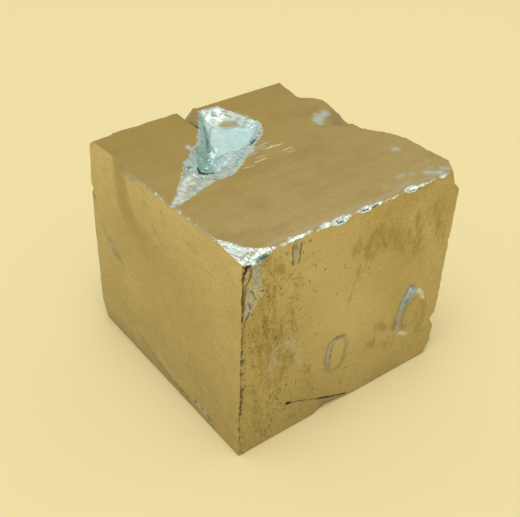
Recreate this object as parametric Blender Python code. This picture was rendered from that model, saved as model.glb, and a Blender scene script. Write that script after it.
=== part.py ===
"""A pyrite crystal, one natural near-cubic block with fresh breaks on its top.

Lengths are in millimetres until spot() turns them into metres. A place is (a, b, z):
a runs along X and b along Y, both from the nearest upright edge, and z runs up from the foot.
"""

from math import ceil, log2

import bpy
import bmesh
from mathutils import Matrix, Vector, noise

MM = 0.001

# Driving sizes of the crystal
WIDTH = 41.0
DEPTH = 42.0
HEIGHT = 36.0
LEFT_LEAN = 0.9
FRONT_LEAN = 0.6
RIGHT_LEAN = 1.7

# Fresh breaks are rough, old growth faces are smooth
BREAK_ROUGHNESS = 0.22
BREAK_GRAIN = 1.2
FAR_GRAIN = 1.8
EDGE_ROUGHNESS = 0.1
EDGE_GRAIN = 1.0
PIT_ROUGHNESS = 0.05
PIT_DETAIL = 2

BRASS_YELLOW = (0.40, 0.31, 0.12, 1.0)
SATIN = 0.42


def spot(a, b, z):
    """The place in metres, with the origin under the middle of the crystal."""
    return Vector((a - WIDTH / 2, b - DEPTH / 2, z)) * MM


def new_collection(name):
    collection = bpy.data.collections.new(name)
    bpy.context.scene.collection.children.link(collection)
    return collection


def new_object(name, bm, collection):
    mesh = bpy.data.meshes.new(name)
    bm.to_mesh(mesh)
    bm.free()
    obj = bpy.data.objects.new(name, mesh)
    collection.objects.link(obj)
    return obj


def roughen(bm, roughness, grain):
    """Halves the long edges until they reach the grain, then shifts each corner by a noise."""
    longest = max(edge.calc_length() for edge in bm.edges)
    for _ in range(ceil(log2(longest / (grain * MM)))):
        bmesh.ops.triangulate(bm, faces=bm.faces[:])
        long_edges = [edge for edge in bm.edges if edge.calc_length() > grain * MM]
        bmesh.ops.subdivide_edges(bm, edges=long_edges, cuts=1)
    bmesh.ops.triangulate(bm, faces=bm.faces[:])
    for vertex in bm.verts:
        vertex.co += noise.noise_vector(vertex.co / (1.7 * grain * MM)) * roughness * MM


def planed_cube(name, heart, reach, facets, collection, roughness=0.0, grain=1.0):
    """A cube round its heart, planed off along facets that each pass through three places."""
    bm = bmesh.new()
    middle = spot(*heart)
    bmesh.ops.create_cube(bm, size=2 * reach * MM, matrix=Matrix.Translation(middle))
    for places in facets:
        first, second, third = (spot(*place) for place in places)
        away = (second - first).cross(third - first).normalized()
        if away.dot(middle - first) > 0:
            away.negate()
        everything = bm.verts[:] + bm.edges[:] + bm.faces[:]
        cut = bmesh.ops.bisect_plane(
            bm, geom=everything, plane_co=first, plane_no=away, clear_outer=True)
        rim = [item for item in cut["geom_cut"] if isinstance(item, bmesh.types.BMEdge)]
        if rim:
            bmesh.ops.edgeloop_fill(bm, edges=rim)
    bmesh.ops.recalc_face_normals(bm, faces=bm.faces[:])
    if roughness:
        roughen(bm, roughness, grain)
    return new_object(name, bm, collection)


def scoop(name, centre, radii, collection, roughness=EDGE_ROUGHNESS, detail=3):
    """A lumpy ball, drawn out along each axis to its radii."""
    bm = bmesh.new()
    bmesh.ops.create_icosphere(bm, subdivisions=detail, radius=1.0)
    for vertex in bm.verts:
        vertex.co = spot(*centre) + Vector(r * c for r, c in zip(radii, vertex.co)) * MM
        vertex.co += noise.noise_vector(vertex.co / MM) * roughness * MM
    return new_object(name, bm, collection)


def groove(name, places, radius, collection):
    """A tube along a smooth path, whose lower side cuts a shallow trough."""
    curve = bpy.data.curves.new(name, "CURVE")
    curve.dimensions = "3D"
    curve.bevel_depth = radius * MM
    curve.bevel_resolution = 6
    curve.resolution_u = 4
    curve.use_fill_caps = True
    spline = curve.splines.new("BEZIER")
    spline.bezier_points.add(len(places) - 1)
    for point, place in zip(spline.bezier_points, places):
        point.co = spot(*place)
        point.handle_left_type = "AUTO"
        point.handle_right_type = "AUTO"
    path = bpy.data.objects.new(name + "_path", curve)
    collection.objects.link(path)
    depsgraph = bpy.context.evaluated_depsgraph_get()
    mesh = bpy.data.meshes.new_from_object(path.evaluated_get(depsgraph))
    bpy.data.objects.remove(path)
    bm = bmesh.new()
    bm.from_mesh(mesh)
    bpy.data.meshes.remove(mesh)
    bmesh.ops.remove_doubles(bm, verts=bm.verts[:], dist=0.01 * MM)
    bmesh.ops.recalc_face_normals(bm, faces=bm.faces[:])
    return new_object(name, bm, collection)


def crystal_block(collection):
    """The whole crystal before any damage: six faces, three of them leaning a little."""
    top = ((0, 0, HEIGHT), (1, 0, HEIGHT), (0, 1, HEIGHT))
    foot = ((0, 0, 0), (1, 0, 0), (0, 1, 0))
    left = ((-0.15, 0, HEIGHT), (-0.15, 1, HEIGHT), (-0.15 - LEFT_LEAN, 0, 0))
    front = ((0, -0.45, HEIGHT), (1, -0.45, HEIGHT), (0, FRONT_LEAN - 0.45, 0))
    right = ((41.4, 0, HEIGHT), (41.4, 1, HEIGHT), (41.4 - RIGHT_LEAN, 0, 0))
    back = ((0, 42.0, HEIGHT), (1, 42.0, HEIGHT), (0, 42.3, 0))
    middle = (WIDTH / 2, DEPTH / 2, HEIGHT / 2)
    return planed_cube("pyrite_cube", middle, 30, (top, foot, left, front, right, back), collection)


def top_pocket(cutters):
    """The fresh break in the top: a bowl with a flat cleavage floor, a rough step down
    to a crevice, and a shallow tail that runs out at the left edge."""
    bowl = (
        ((20.3, 36.6, 34.2), (24.3, 30.4, 34.9), (16.0, 26.2, 34.5)),
        ((19.8, 41.0, 36), (24.0, 40.0, 36), (20.8, 37.3, 34.1)),
        ((24.0, 40.0, 36), (26.2, 31.5, 36), (23.4, 33.2, 34.6)),
        ((26.2, 31.8, 36), (23.9, 26.9, 36), (24.0, 30.2, 34.8)),
        ((24.2, 27.0, 36), (15.0, 21.0, 36), (19.0, 26.2, 34.4)),
        ((12.6, 29.6, 36), (18.4, 37.8, 36), (15.6, 30.0, 33.8)),
    )
    planed_cube("bowl", (19, 31, 39), 12, bowl, cutters, 0.12, BREAK_GRAIN)
    step = (
        ((9.5, 24.0, 33.6), (13.5, 27.5, 33.2), (12.0, 23.0, 33.8)),
        ((7.6, 26.0, 36), (13.4, 30.8, 36), (9.8, 25.6, 33.6)),
        ((7.8, 20.0, 36), (17.0, 22.4, 36), (12.6, 23.4, 34.0)),
        ((7.2, 25.0, 36), (7.8, 20.0, 36), (8.8, 23.2, 34.2)),
        ((17.4, 30.0, 34.6), (17.2, 23.0, 34.9), (14.6, 27.0, 33.4)),
        ((12.4, 30.2, 36), (16.8, 30.6, 36), (14.0, 29.2, 33.6)),
    )
    planed_cube("rough_step", (12.5, 26, 38), 8, step, cutters, 0.34, 1.0)
    tail = (
        ((0.2, 16.2, 35.9), (9.0, 25.0, 35.1), (10.0, 20.4, 35.2)),
        ((0.0, 16.8, 36), (9.4, 27.2, 36), (3.0, 19.4, 35.2)),
        ((0.0, 16.0, 36), (12.4, 20.1, 36), (5.0, 18.2, 35.3)),
    )
    planed_cube("tail", (4.5, 19.5, 40), 8, tail, cutters, BREAK_ROUGHNESS, BREAK_GRAIN)
    notch = (
        ((16.8, 42, 36), (16.4, 35, 36), (18.3, 42, 34.3)),
        ((20.2, 42, 36), (17.8, 36.4, 36), (18.3, 42, 34.3)),
    )
    planed_cube("back_notch", (18.3, 41, 40), 6.5, notch, cutters)


def corner_chip(cutters):
    """Two fresh facets that take off the top of the nearest corner."""
    bright = (((-0.1, 6.4, 36), (5.2, -0.2, 36), (-0.4, -0.4, 35.2)),)
    planed_cube("corner_chip", (-1, -1, 40), 8, bright, cutters, 0.1, EDGE_GRAIN)
    dark = (((5.4, 0.2, 36), (3.4, -0.4, 34.5), (2.6, 1.2, 35.7)),)
    planed_cube("corner_chip_side", (3.8, -2, 37), 3, dark, cutters, 0.1, EDGE_GRAIN)


def edge_chips(cutters):
    """Small breaks along the edges of the top, each a lumpy scoop."""
    front_edge = (
        (7.4, 2.9, 1.3, 0.75),
        (10.9, 1.6, 1.0, 0.6),
        (15.4, 3.4, 1.6, 1.1),
        (19.5, 1.5, 0.9, 0.6),
        (22.2, 2.7, 1.3, 0.9),
        (27.4, 1.6, 1.0, 0.7),
        (30.8, 2.3, 1.3, 0.9),
        (34.9, 2.4, 0.6, 0.4),
    )
    for number, (a, along, across, deep) in enumerate(front_edge):
        scoop(f"front_edge_chip_{number}", (a, -0.7, 36.3), (along, across, deep), cutters)
    left_edge = (
        (29.8, 3.8, 0.7, 1.4),
        (18.6, 2.2, 0.7, 0.6),
        (13.2, 2.0, 0.5, 0.5),
        (8.9, 1.6, 0.4, 0.4),
    )
    for number, (b, along, across, deep) in enumerate(left_edge):
        scoop(f"left_edge_chip_{number}", (-0.4, b, 36.2), (across, along, deep), cutters)


def far_edge_breaks(cutters):
    """The ragged far right edge of the top, where steep pieces have split away."""
    gentle = (
        ((32.2, 23.6, 36), (37.0, 28.8, 36), (39.4, 23.6, 34.9)),
        ((32.2, 23.8, 36), (39.4, 20.4, 36), (38.2, 22.6, 35.0)),
    )
    planed_cube("gentle_chip", (40, 26, 39), 9, gentle, cutters, 0.12, BREAK_GRAIN)
    middle = (
        ((40.2, 29.4, 36), (37.9, 20.0, 36), (41.2, 25.0, 29.0)),
        ((37.9, 20.0, 36), (41.6, 13.2, 36), (41.2, 18.0, 31.0)),
    )
    planed_cube("middle_break", (46, 20, 38), 12, middle, cutters, BREAK_ROUGHNESS, FAR_GRAIN)
    rear = (
        ((37.2, 34.2, 36), (38.6, 42.0, 36), (40.8, 38.0, 28.0)),
        ((37.2, 34.4, 36), (40.4, 31.8, 36), (40.8, 34.0, 31.0)),
    )
    planed_cube("rear_break", (44, 40, 38), 11, rear, cutters, BREAK_ROUGHNESS, FAR_GRAIN)
    shoulder = (
        ((39.0, -0.5, 36), (41.3, 2.6, 36), (40.1, -0.5, 33.0)),
        ((39.9, -0.5, 32.9), (41.3, -0.5, 32.3), (41.3, 3.0, 33.4)),
    )
    planed_cube("right_shoulder", (42.2, -1.2, 37), 5, shoulder, cutters, 0.1, EDGE_GRAIN)


def upright_edges(cutters):
    """Pits down the nearest edge and nicks in the two outer upright edges."""
    pits = (
        (31.3, 0.45), (28.9, 0.35), (26.3, 0.5), (23.7, 0.4), (21.0, 0.45),
        (18.6, 0.9), (14.5, 0.5), (11.2, 0.55), (8.0, 0.5), (5.6, 0.45),
    )
    for number, (z, size) in enumerate(pits):
        lean = 1 - z / HEIGHT
        centre = (-0.2 - LEFT_LEAN * lean, -0.5 + FRONT_LEAN * lean, z)
        radii = (size, 0.8 * size, 1.4 * size)
        scoop(f"edge_pit_{number}", centre, radii, cutters, PIT_ROUGHNESS, PIT_DETAIL)
    scoop("right_edge_nick", (41.1, -0.6, 22.9), (0.6, 1.2, 0.6), cutters, PIT_ROUGHNESS)
    scoop("right_edge_low_nick", (40.1, -0.4, 7.1), (1.1, 1.6, 1.2), cutters)
    scoop("left_edge_nick", (-0.6, 42.3, 27.4), (0.75, 1.1, 0.8), cutters)
    low_corner = (((40.2, -0.2, 3.2), (38.4, 0.2, 0), (40.2, 3.4, 0.6)),)
    planed_cube("low_corner_chip", (42, -2, -1), 5, low_corner, cutters, 0.1, EDGE_GRAIN)


def left_face(cutters):
    """The shallow curved valley between two growth areas, the set-back area behind it,
    and the bevelled ledge along the foot."""
    path = ((-8.0, 32.0, 41), (-8.05, 31.2, 35), (-8.1, 30.4, 30), (-8.2, 27.0, 26.2),
            (-8.4, 21.0, 24.6), (-8.8, 13.0, 23.4))
    groove("valley", path, 8.2, cutters)
    set_back = (
        ((0.35, 42, 36), (0.65, 34.0, 36), (-0.5, 42, 25.5)),
        ((-0.2, 32.4, 36), (0.65, 34.4, 36), (-0.5, 31.6, 26)),
    )
    planed_cube("set_back_area", (-4, 42, 34), 12, set_back, cutters)
    ledge = (((-0.92, 30, 4.2), (-1.0, 8, 1.6), (-0.55, 18, -0.6)),)
    planed_cube("foot_ledge", (-20, 20, -18), 27, ledge, cutters)


def front_face(cutters):
    """A thin peeled patch by the nearest edge, a short trough, two rounded scars left by
    smaller crystals, and a crack that ends where a flake has gone from the foot."""
    peel = (
        ((-1, 0.05, 26), (-1, -0.15, 36), (4, -0.15, 36)),
        ((3.2, -0.5, 36), (4.3, -0.5, 29.6), (4.3, 0.3, 29.6)),
        ((4.3, -0.5, 29.6), (-0.4, -0.5, 26.4), (-0.4, 0.3, 26.4)),
    )
    planed_cube("peeled_patch", (0, -4.6, 33), 5, peel, cutters, 0.08, EDGE_GRAIN)
    scoop("short_trough", (8.8, -0.55, 34.2), (0.6, 0.35, 2.6), cutters, 0.04)
    oval = ((17.9, -0.5, 14.4), (16.4, -0.5, 13.9), (15.7, -0.45, 12.4), (15.6, -0.4, 9.6))
    groove("oval_scar", oval, 0.5, cutters)
    crescent = ((33.9, -0.6, 17.7), (32.0, -0.6, 16.2), (31.1, -0.55, 13.6), (31.2, -0.5, 9.4))
    groove("crescent_scar", crescent, 0.7, cutters)
    crack = ((8.2, 0.0, 5.6), (10.6, 0.0, 4.8), (13.2, 0.05, 3.6), (16.0, 0.1, 2.3))
    groove("crack", crack, 0.28, cutters)
    flake = (
        ((15.2, 0.2, 2.6), (20.6, 0.2, 0.4), (17.4, 3.2, 1.0)),
        ((15.2, 0.2, 2.6), (16.2, 0.2, 0), (16.6, 3.2, 0.4)),
    )
    planed_cube("lost_flake", (18, -2, -1), 4.5, flake, cutters, 0.1, EDGE_GRAIN)


def far_faces(cutters):
    """Growth ledges and drawn-out pits on the back, the far right face and the foot."""
    back_ledge = (
        ((20.5, 41.5, 36), (38.0, 41.6, 36), (21.5, 42.1, 0)),
        ((20.5, 41.4, 36), (20.5, 43.0, 36), (25.0, 42.0, 0)),
    )
    planed_cube("back_ledge", (36, 53, 30), 16, back_ledge, cutters)
    right_ledge = (
        ((40.6, 24, 18), (40.2, 30, 4), (40.7, 42, 17)),
        ((40.9, 22, 20), (42.0, 22, 20), (40.9, 40, 24)),
        ((40.9, 22, 20), (42.0, 22, 20), (40.0, 27, 3)),
    )
    planed_cube("right_ledge", (52, 40, 8), 13, right_ledge, cutters)
    foot_corner = (((35.0, 42.3, 0), (39.9, 37.0, 0), (40.0, 42.3, 2.8)),)
    planed_cube("far_foot_chip", (43, 45, -1), 7, foot_corner, cutters, 0.1, BREAK_GRAIN)
    back_pits = (
        (7.0, 12.0, 0.5, 1.9), (12.5, 25.0, 0.7, 1.2), (15.0, 6.5, 0.4, 1.0),
        (27.0, 10.0, 0.9, 1.5), (31.5, 22.0, 0.4, 2.2), (35.0, 4.0, 0.6, 0.9),
    )
    for number, (a, z, across, up) in enumerate(back_pits):
        centre = (a, 42.1, z)
        scoop(f"back_pit_{number}", centre, (across, 0.5, up), cutters, PIT_ROUGHNESS, PIT_DETAIL)
    right_pits = (
        (7.0, 9.0, 1.6, 0.5), (12.0, 24.0, 2.4, 0.4), (18.0, 13.0, 1.0, 0.7),
        (23.0, 5.0, 1.3, 0.5), (9.0, 29.0, 0.9, 0.6),
    )
    for number, (b, z, along, up) in enumerate(right_pits):
        centre = (41.4 - RIGHT_LEAN * (1 - z / HEIGHT), b, z)
        scoop(f"right_pit_{number}", centre, (0.5, along, up), cutters, PIT_ROUGHNESS, PIT_DETAIL)


def pyrite():
    material = bpy.data.materials.new("pyrite")
    material.use_nodes = True
    shader = material.node_tree.nodes["Principled BSDF"]
    shader.inputs["Base Color"].default_value = BRASS_YELLOW
    shader.inputs["Metallic"].default_value = 1.0
    shader.inputs["Roughness"].default_value = SATIN
    return material


def main():
    for obj in list(bpy.data.objects):
        bpy.data.objects.remove(obj)
    specimen = new_collection("pyrite_specimen")
    cutters = new_collection("breaks_and_marks")
    crystal = crystal_block(specimen)
    crystal.data.materials.append(pyrite())
    for carve in (top_pocket, corner_chip, edge_chips, far_edge_breaks,
                  upright_edges, left_face, front_face, far_faces):
        carve(cutters)
    for cutter in cutters.objects:
        cutter.hide_render = True
        cutter.display_type = "WIRE"
        cut = crystal.modifiers.new(cutter.name, "BOOLEAN")
        cut.operation = "DIFFERENCE"
        cut.solver = "EXACT"
        cut.object = cutter


main()
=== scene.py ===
"""The look of a pyrite crystal: one near-cubic natural crystal with fresh breaks on its top.

Lengths are in millimetres until the mesh is made. A place is (a, b, z): a runs along X and
b along Y, both from the nearest upright edge, and z runs up from the foot.
"""

from math import radians

import bpy
import numpy as np
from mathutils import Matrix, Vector


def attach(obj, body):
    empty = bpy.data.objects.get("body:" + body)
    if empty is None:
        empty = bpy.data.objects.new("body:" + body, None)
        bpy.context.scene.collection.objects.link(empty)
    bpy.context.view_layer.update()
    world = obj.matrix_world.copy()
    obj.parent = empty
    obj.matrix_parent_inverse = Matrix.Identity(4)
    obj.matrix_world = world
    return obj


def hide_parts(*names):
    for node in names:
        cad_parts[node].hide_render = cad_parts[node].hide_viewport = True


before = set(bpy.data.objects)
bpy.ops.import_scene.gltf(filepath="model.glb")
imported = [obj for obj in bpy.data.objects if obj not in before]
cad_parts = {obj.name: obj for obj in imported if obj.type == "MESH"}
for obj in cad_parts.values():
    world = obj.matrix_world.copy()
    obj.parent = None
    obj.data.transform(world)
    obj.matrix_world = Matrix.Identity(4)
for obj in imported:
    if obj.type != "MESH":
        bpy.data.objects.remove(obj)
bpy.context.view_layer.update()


# The camera
# It stands over the nearest upright edge and looks down on the crystal, as in the photograph.
# Its place and angles come from the crystal's corners.

MM = 0.001
HALF_WIDTH = 20.5
HALF_DEPTH = 21.0
FRAME_WIDTH = 520
FOCAL_PIXELS = 862.1
CAMERA_PLACE = (-52.8, -74.0, 99.1)
CAMERA_YAW = 37.0
CAMERA_PITCH = 34.7
NEAR_CLIP = 0.01
FAR_CLIP = 20.0


def spot(a, b, z):
    """The place in metres, with the origin under the middle of the crystal."""
    return Vector((a - HALF_WIDTH, b - HALF_DEPTH, z)) * MM


camera_data = bpy.data.cameras.new("camera")
camera_data.sensor_fit = "HORIZONTAL"
camera_data.lens = camera_data.sensor_width * FOCAL_PIXELS / FRAME_WIDTH
camera_data.clip_start = NEAR_CLIP
camera_data.clip_end = FAR_CLIP
camera = bpy.data.objects.new("camera", camera_data)
camera.location = spot(*CAMERA_PLACE)
camera.rotation_euler = (radians(90 - CAMERA_PITCH), 0, radians(-CAMERA_YAW))
bpy.context.scene.collection.objects.link(camera)
bpy.context.scene.camera = camera


# The crystal
# One block of pyrite with six growth faces, three of them leaning a little. It grew as one
# piece, and it was later knocked: its top has a deep fresh break and its edges are chipped.

HEIGHT = 36.0
LEFT_AT_TOP = -0.15
RIGHT_AT_TOP = 41.4
FRONT_AT_TOP = -0.45
BACK_AT_TOP = 42.0
LEFT_LEAN = 0.9
RIGHT_LEAN = 1.7
FRONT_LEAN = 0.6
BACK_LEAN = 0.3
WIDTH = 41.5
DEPTH = 42.4
CELLS = (140, 136, 106)
BUSY_ALONG_A = ((1.0, 5.0, 1.1), (17.0, 9.0, 0.7))
BUSY_ALONG_B = ((0.0, 1.8, 2.6), (26.0, 10.0, 0.8))
BUSY_ALONG_Z = ((36.0, 2.2, 2.4), (1.0, 3.0, 0.4))
FINE_STEPS = 4001


def grid_lines(cells, length, busy):
    """Grid lines from 0 to 1, closer together where it is busy. The density is
    1 + sum of gain * exp(-((s - place) / reach)^2), and equal areas under it give the lines."""
    s = np.linspace(0, length, FINE_STEPS)
    density = np.ones_like(s)
    for place, reach, gain in busy:
        density += gain * np.exp(-((s - place) / reach) ** 2)
    area = np.concatenate([[0], np.cumsum((density[1:] + density[:-1]) / 2)])
    return np.interp(np.linspace(0, area[-1], cells + 1), area, s) / length


def cube_grid(lines):
    """Six grids on a unit cube, sewn along its edges. Each is (s, t) -> a point of one face,
    and the direction first x second points outwards."""
    sides = (
        (2, 1, 0, 1), (2, 0, 1, 0),
        (0, 1, 1, 2), (0, 0, 2, 1),
        (1, 0, 0, 2), (1, 1, 2, 0),
    )
    counts = tuple(len(line) for line in lines)
    keys = []
    corners = []
    for fixed, end, first, second in sides:
        i, j = np.meshgrid(np.arange(counts[first]), np.arange(counts[second]), indexing="ij")
        lattice = [None, None, None]
        lattice[first] = i
        lattice[second] = j
        lattice[fixed] = np.full_like(i, end * (counts[fixed] - 1))
        key = np.ravel_multi_index(tuple(lattice), counts)
        keys.append(key.ravel())
        corners.append(np.stack(
            [key[:-1, :-1], key[1:, :-1], key[1:, 1:], key[:-1, 1:]], -1).reshape(-1, 4))
    unique = np.unique(np.concatenate(keys))
    quads = [np.searchsorted(unique, corner) for corner in corners]
    lattice = np.unravel_index(unique, counts)
    unit = np.stack([line[number] for line, number in zip(lines, lattice)], -1)
    return unit, quads


def side_planes(z):
    """Where the left, right, front and back faces stand at a height."""
    down = 1 - z / HEIGHT
    left = LEFT_AT_TOP - LEFT_LEAN * down
    right = RIGHT_AT_TOP - RIGHT_LEAN * down
    front = FRONT_AT_TOP + FRONT_LEAN * down
    back = BACK_AT_TOP + BACK_LEAN * down
    return left, right, front, back


def lean_block(unit):
    """The whole crystal before any damage: each side runs straight from its place at the top
    to its place at the foot, and the points between two sides are spread evenly."""
    u, v, w = unit.T
    left, right, front, back = side_planes(w * HEIGHT)
    return np.stack([left + u * (right - left), front + v * (back - front), w * HEIGHT], -1)


TABLE_SIZE = 32
TABLE_START = 500.0


def lumps(where, size, seed):
    """A smooth random field from -1 to 1: random values on a lattice of that size, blended
    along each axis by 3 t^2 - 2 t^3. The size may be three sizes, for stretched lumps."""
    table = np.random.default_rng(seed).uniform(-1, 1, [TABLE_SIZE] * 3)
    scaled = where / size + TABLE_START
    cell = np.floor(scaled).astype(int)
    t = scaled - cell
    t = t * t * (3 - 2 * t)
    total = np.zeros(len(where))
    for corner in np.ndindex(2, 2, 2):
        weight = np.prod(np.where(corner, t, 1 - t), axis=1)
        total += weight * table[tuple((cell + corner).T % TABLE_SIZE)]
    return total


def ramp(values, low, high):
    """0 below low, 1 above high, and 3 t^2 - 2 t^3 between."""
    t = np.clip((values - low) / (high - low), 0, 1)
    return t * t * (3 - 2 * t)


def unit_vector(direction):
    direction = np.asarray(direction, float)
    return direction / np.linalg.norm(direction)


unit, face_quads = cube_grid((
    grid_lines(CELLS[0], WIDTH, BUSY_ALONG_A),
    grid_lines(CELLS[1], DEPTH, BUSY_ALONG_B),
    grid_lines(CELLS[2], HEIGHT, BUSY_ALONG_Z),
))
whole = lean_block(unit)
places = whole.copy()
marks = {}
FAR = 1e9
TINY = 1e-9
LEAST_SLANT = 0.3
EVERYWHERE = slice(None)
UP = (0, 0, 1)
DOWN = (0, 0, -1)
INTO_FRONT = (0, 1, 0)
INTO_LEFT = (1, 0, 0)
OUT_FRONT = (0, -1, 0)
OUT_LEFT = (-1, 0, 0)
OUT_BACK = (0, 1, 0)
OUT_RIGHT = (1, 0, 0)


def mark(kind, near, inside):
    """Keeps, for the finish, how far inside a kind of mark each point is, up to 1 mm."""
    kept = marks.setdefault(kind, np.full(len(places), -1.0))
    kept[near] = np.maximum(kept[near], np.clip(inside, -1, 1))


def sink(near, depth, push, rough, grain):
    """Moves points back along the push. Lumps of two sizes are added to the depth, fading out
    where the depth is nothing."""
    here = places[near]
    field = lumps(here, grain, 3) + 0.5 * lumps(here, grain / 2.3, 7)
    depth = depth + rough * field * ramp(depth, 0, 2.5 * rough + 0.01)
    places[near] -= np.maximum(depth, 0)[:, None] * push


def split_off(facets, heart, push, reach, kind, rough=0.1, grain=1.2, edge=1.0):
    """Takes away what lies on the heart's side of every facet. With s_i the distance past
    facet i, a point is pushed back along -push by the least s_i / (facet direction . push)."""
    push = unit_vector(push)
    heart = np.asarray(heart, float)
    near = np.flatnonzero(np.abs(places - heart).max(1) < reach)
    here = places[near]
    inside = np.full(len(near), FAR)
    depth = np.full(len(near), FAR)
    for three in facets:
        first, second, third = np.asarray(three, float)
        normal = unit_vector(np.cross(second - first, third - first))
        normal = normal if normal @ (heart - first) > 0 else -normal
        past = (here - first) @ normal
        inside = np.minimum(inside, past)
        depth = np.minimum(depth, past / max(normal @ push, LEAST_SLANT))
    if kind:
        mark(kind, near, inside * edge)
    hit = inside > 0
    sink(near[hit], depth[hit], push, rough, grain)


def scoop_out(centre, radii, push, kind, rough=0.1, grain=0.9, edge=1.0):
    """Takes a lumpy ball out. With q = (place - centre) / radii and w = push / radii, a point
    with |q| < 1 goes back by the larger root t of |q - t w| = 1."""
    push = unit_vector(push)
    centre = np.asarray(centre, float)
    near = np.flatnonzero(np.abs(places - centre).max(1) < max(radii) + 1)
    q = (places[near] - centre) / radii
    w = push / radii
    along = q @ w
    square = along ** 2 - (w @ w) * ((q * q).sum(1) - 1)
    depth = (along + np.sqrt(np.maximum(square, 0))) / (w @ w)
    inside = 1 - np.linalg.norm(q, axis=1)
    mark(kind, near, inside * min(radii) * edge)
    hit = inside > 0
    sink(near[hit], depth[hit], push, rough, grain)


def path_distance(path):
    """How far each point of the whole block is from a path of straight pieces, and how far
    along the path its nearest point is, from 0 to 1."""
    path = np.asarray(path, float)
    best = np.full(len(whole), FAR)
    along = np.zeros(len(whole))
    pieces = max(len(path) - 1, 1)
    for number in range(pieces):
        start = path[number]
        step = path[min(number + 1, len(path) - 1)] - start
        t = np.clip((whole - start) @ step / max(step @ step, TINY), 0, 1)
        distance = np.linalg.norm(whole - start - t[:, None] * step, axis=1)
        nearer = distance < best
        best = np.where(nearer, distance, best)
        along = np.where(nearer, (number + t) / pieces, along)
    return best, along


def on_top(path):
    return [(a, b, HEIGHT) for a, b in path]


def on_front(path):
    return [(a, side_planes(z)[2], z) for a, z in path]


def on_left(path):
    return [(side_planes(z)[0], b, z) for b, z in path]


def stroke(kind, path, half_width, fall=0.0, inwards=DOWN):
    """Marks a band along a path, and lowers it by fall * (1 - (distance / half width)^2)."""
    distance, _ = path_distance(path)
    mark(kind, EVERYWHERE, half_width - distance)
    if fall:
        shape = np.clip(1 - (distance / half_width) ** 2, 0, 1)
        places[:] += (fall * shape)[:, None] * np.asarray(inwards, float)


def patch(kind, outline, face=2):
    """Marks an area of the top, or of the front face when face is 1. A point keeps its distance
    to the outline, and it is inside where a line along a from it crosses the outline an odd
    number of times."""
    closed = [*outline, outline[0]]
    side = np.flatnonzero(unit[:, face] == (1 if face == 2 else 0))
    a, other = whole[side, 0], whole[side, 3 - face]
    inside = np.zeros(len(side), bool)
    for start, end in zip(closed[:-1], closed[1:]):
        crossed = (start[1] > other) != (end[1] > other)
        share = (other - start[1]) / (end[1] - start[1] if end[1] != start[1] else 1)
        inside ^= crossed & (a < start[0] + share * (end[0] - start[0]))
    distance, _ = path_distance(on_top(closed) if face == 2 else on_front(closed))
    inside = np.where(inside, distance[side], -distance[side])
    mark(kind, side, inside)
    return side, inside


# Worn edges. A point nearer than r to two faces is drawn in to a rounding of radius r

WEAR = 0.2
LEAST_WEAR = 0.04
MOST_WEAR = 0.6

left, right, front, back = side_planes(whole[:, 2])
wear = WEAR * (1.1 + lumps(whole, 3.1, 11) + 0.8 * lumps(whole, 0.9, 12))
wear = np.clip(wear, LEAST_WEAR, MOST_WEAR)
to_low = np.stack([whole[:, 0] - left, whole[:, 1] - front, whole[:, 2]], -1)
to_high = np.stack([right - whole[:, 0], back - whole[:, 1], HEIGHT - whole[:, 2]], -1)
pull = np.maximum(wear[:, None] - to_low, 0) - np.maximum(wear[:, None] - to_high, 0)
length = np.linalg.norm(pull, axis=1)
places += pull * (np.maximum(length - wear, 0) / np.maximum(length, TINY))[:, None]

# The growth faces swell and sink a little between their growth lines

GROWTH_SWELL = 0.05
SWELL_STARTS = 0.2
SWELL_FULL = 3.0
SWELL_SIZES = ((9.0, 14.0, 1.6), (1.7, 9.0, 12.0), (13.0, 1.5, 9.0))

second_nearest = np.sort(np.minimum(to_low, to_high), axis=1)[:, 1]
swell = ramp(second_nearest, SWELL_STARTS, SWELL_FULL) * GROWTH_SWELL
for axis, size in enumerate(SWELL_SIZES):
    side = (unit[:, axis] == 0) | (unit[:, axis] == 1)
    outwards = unit[side, axis] * 2 - 1
    places[side, axis] += outwards * swell[side] * (lumps(whole[side], size, 21 + axis) - 1.0)

# The valley between two growth areas of the left face, darkened with painted shade, the set-back area
# behind it, and the ledge low on the same face, darkened with painted shade too

VALLEY = ((32.8, 37.0), (32.4, 33.0), (31.6, 29.5), (28.6, 26.6), (22.2, 25.0), (13.0, 23.8))
VALLEY_HALF_WIDTH = 3.2
VALLEY_DEPTH = 0.36

left_side = unit[:, 0] == 0
valley_distance, valley_along = path_distance(on_left(VALLEY))
valley = np.clip(1 - (valley_distance / VALLEY_HALF_WIDTH) ** 2, 0, 1) * (1 - valley_along ** 2)
places[left_side, 0] += VALLEY_DEPTH * valley[left_side]
mark("shade", left_side, (valley * 2 - 1)[left_side])
set_back = (
    ((0.35, 42, 36), (0.65, 34.0, 36), (-0.5, 42, 25.5)),
    ((-0.2, 32.4, 36), (0.65, 34.4, 36), (-0.5, 31.6, 26)),
)
split_off(set_back, (-4, 42, 34), OUT_LEFT, 12, None, 0.03, 2.0)
# The ledge low on the left face gets painted shade
foot_ledge = (((-0.92, 30, 4.2), (-1.0, 8, 1.6), (-0.55, 18, -0.6)),)
split_off(foot_ledge, (-20, 20, -18), OUT_LEFT, 27, "ledge_shade", 0.05, 1.5)

# The ragged far right edge of the top, where steep pieces have split away. Its outline was
# read from the photograph, as places along b

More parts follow.
